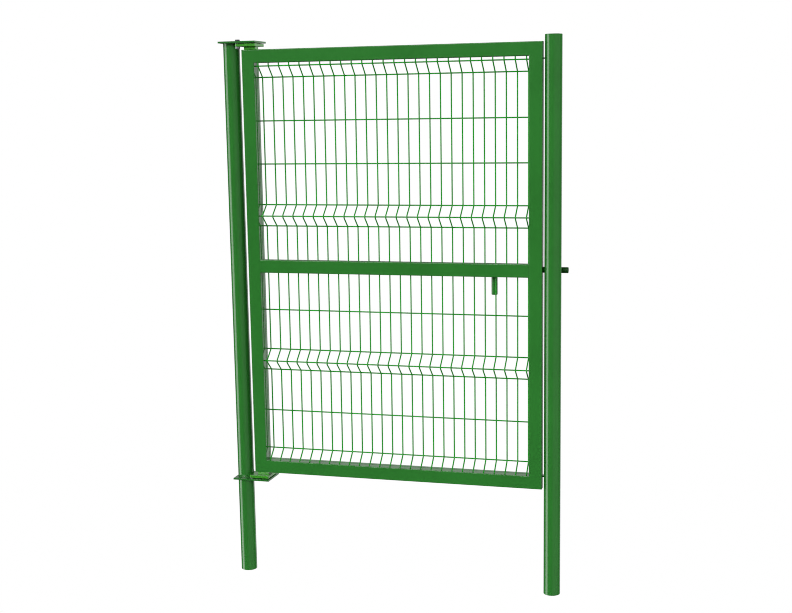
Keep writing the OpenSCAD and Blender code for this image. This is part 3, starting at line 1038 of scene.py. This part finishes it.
class GATE_OT_stage(bpy.types.Operator):
    """Camera, plain pale floor and soft studio light"""

    bl_idname = "gate.stage"
    bl_label = "Stage"

    def execute(self, context):
        settings = context.scene.gate_stage
        self.camera(context, settings)
        self.floor(context, settings)
        self.studio(context, settings)
        return {"FINISHED"}

    def camera(self, context, settings):
        lens = bpy.data.cameras.new("camera")
        lens.sensor_width = 36
        lens.lens = settings.focal_length
        lens.shift_x, lens.shift_y = settings.shift
        holder = bpy.data.objects.new("camera", lens)
        context.scene.collection.objects.link(holder)
        holder.matrix_world = (
            Matrix.Translation(settings.camera_place)
            @ Matrix.Rotation(settings.camera_turn, 4, "Z")
            @ Matrix.Rotation(math.pi / 2 - settings.camera_dip, 4, "X")
            @ Matrix.Rotation(settings.camera_roll, 4, "Z"))
        context.scene.camera = holder
        context.scene.view_settings.view_transform = "Standard"
        context.scene.cycles.filter_width = settings.film_softness

    def floor(self, context, settings):
        """A pale floor for the camera; the lights below the horizon stand for it in the gate's gloss."""
        made, paint = material("pale_floor")
        mottle = paint.grain(1.5, 3.0)
        colour = context.scene.gate_colours.floor
        pale = paint.node("ShaderNodeEmission", None, {
            "Color": paint.blend(mottle, opaque(colour, 0.998), opaque(colour, 1.0)), "Strength": 1.0})
        clear = paint.node("ShaderNodeBsdfTransparent")
        seen = paint.node("ShaderNodeLightPath", output="Is Camera Ray")
        surface(paint, paint.node("ShaderNodeMixShader", None, {0: seen, 1: clear, 2: pale}))
        shape = bmesh.new()
        bmesh.ops.create_grid(shape, x_segments=8, y_segments=8, size=settings.floor_reach)
        mesh = bpy.data.meshes.new("floor")
        shape.to_mesh(mesh)
        shape.free()
        mesh.materials.append(made)
        ground = bpy.data.objects.new("floor", mesh)
        ground.location = (middle("mesh_panel").x, 0.0, 0.0)
        context.scene.collection.objects.link(ground)

    def studio(self, context, settings):
        """Soft lights painted on the studio's walls; the camera sees the walls plain white."""
        world = bpy.data.worlds.new("studio")
        context.scene.world = world
        paint = Paint(world)
        ray = paint.node("ShaderNodeTexCoord", output="Generated")
        x, y, z = (
            paint.node("ShaderNodeSeparateXYZ", None, {"Vector": ray}, output=axis) for axis in "XYZ")
        level = (x * x + y * y) ** 0.5

        def toward(heading, reach, fade):
            """1 within `reach` degrees of a heading, 0 beyond `fade`."""
            facing = (x * math.sin(heading) + y * -math.cos(heading)) / level
            return facing.between(math.cos(math.radians(fade)), math.cos(math.radians(reach)))

        raised = z.between(0.14, 0.22) * (1 - z.between(0.38, 0.54))
        low_down = z.between(-0.50, -0.36) * (1 - z.between(0.10, 0.18))
        high_up = z.between(0.10, 0.26)
        tone = (
            settings.front_tone
            + toward(settings.side_heading, reach=24, fade=56) * settings.side_tone
            + toward(settings.back_heading, reach=7, fade=16) * settings.back_tone
            + high_up * toward(settings.sky_heading, reach=16, fade=28) * settings.sky_tone
            + low_down * toward(settings.strip_heading, reach=12, fade=22) * settings.strip_tone
            + raised * toward(settings.bank_heading, reach=16, fade=28) * settings.bank_tone
            + raised * toward(settings.fill_heading, reach=14, fade=24) * settings.fill_tone
            + z.between(0.3, 0.8) * settings.top_tone)
        seen = paint.node("ShaderNodeLightPath", output="Is Camera Ray")
        walls = paint.node("ShaderNodeBackground", None, {"Color": (1, 1, 1, 1), "Strength": tone})
        plain = paint.node("ShaderNodeBackground", None, {"Color": (1, 1, 1, 1), "Strength": 1.0})
        mixed = paint.node("ShaderNodeMixShader", None, {0: seen, 1: walls, 2: plain})
        paint.node("ShaderNodeOutputWorld", None, {"Surface": mixed})


class GATE_PT_panel(bpy.types.Panel):
    """Buttons that dress the gate, and its sizes and colours"""

    bl_idname = "GATE_PT_panel"
    bl_label = "Mesh Swing Gate"
    bl_space_type = "VIEW_3D"
    bl_region_type = "UI"
    bl_category = "Gate"

    def draw(self, context):
        for group in (context.scene.gate_sizes, context.scene.gate_colours, context.scene.gate_stage):
            box = self.layout.box()
            for name in group.__annotations__:
                box.prop(group, name)
        for operator in OPERATORS:
            self.layout.operator(operator.bl_idname)


GROUPS = {"gate_sizes": GateSizes, "gate_colours": GateColours, "gate_stage": StageSettings}
OPERATORS = (
    GATE_OT_stage, GATE_OT_posts, GATE_OT_fixed_plates, GATE_OT_leaf_frame, GATE_OT_mesh_panel,
    GATE_OT_hinge_arms, GATE_OT_pivots, GATE_OT_latch,
)


def register():
    for group in GROUPS.values():
        bpy.utils.register_class(group)
    for name, group in GROUPS.items():
        setattr(bpy.types.Scene, name, bpy.props.PointerProperty(type=group))
    for operator in OPERATORS:
        bpy.utils.register_class(operator)
    bpy.utils.register_class(GATE_PT_panel)


def unregister():
    bpy.utils.unregister_class(GATE_PT_panel)
    for operator in reversed(OPERATORS):
        bpy.utils.unregister_class(operator)
    for name in GROUPS:
        delattr(bpy.types.Scene, name)
    for group in reversed(list(GROUPS.values())):
        bpy.utils.unregister_class(group)


def main():
    """Dresses the gate."""
    register()
    bpy.ops.gate.stage()
    bpy.ops.gate.posts()
    bpy.ops.gate.fixed_plates()
    bpy.ops.gate.leaf_frame()
    bpy.ops.gate.mesh_panel()
    bpy.ops.gate.hinge_arms()
    bpy.ops.gate.pivots()
    bpy.ops.gate.latch()


if __name__ == "__main__":
    main()
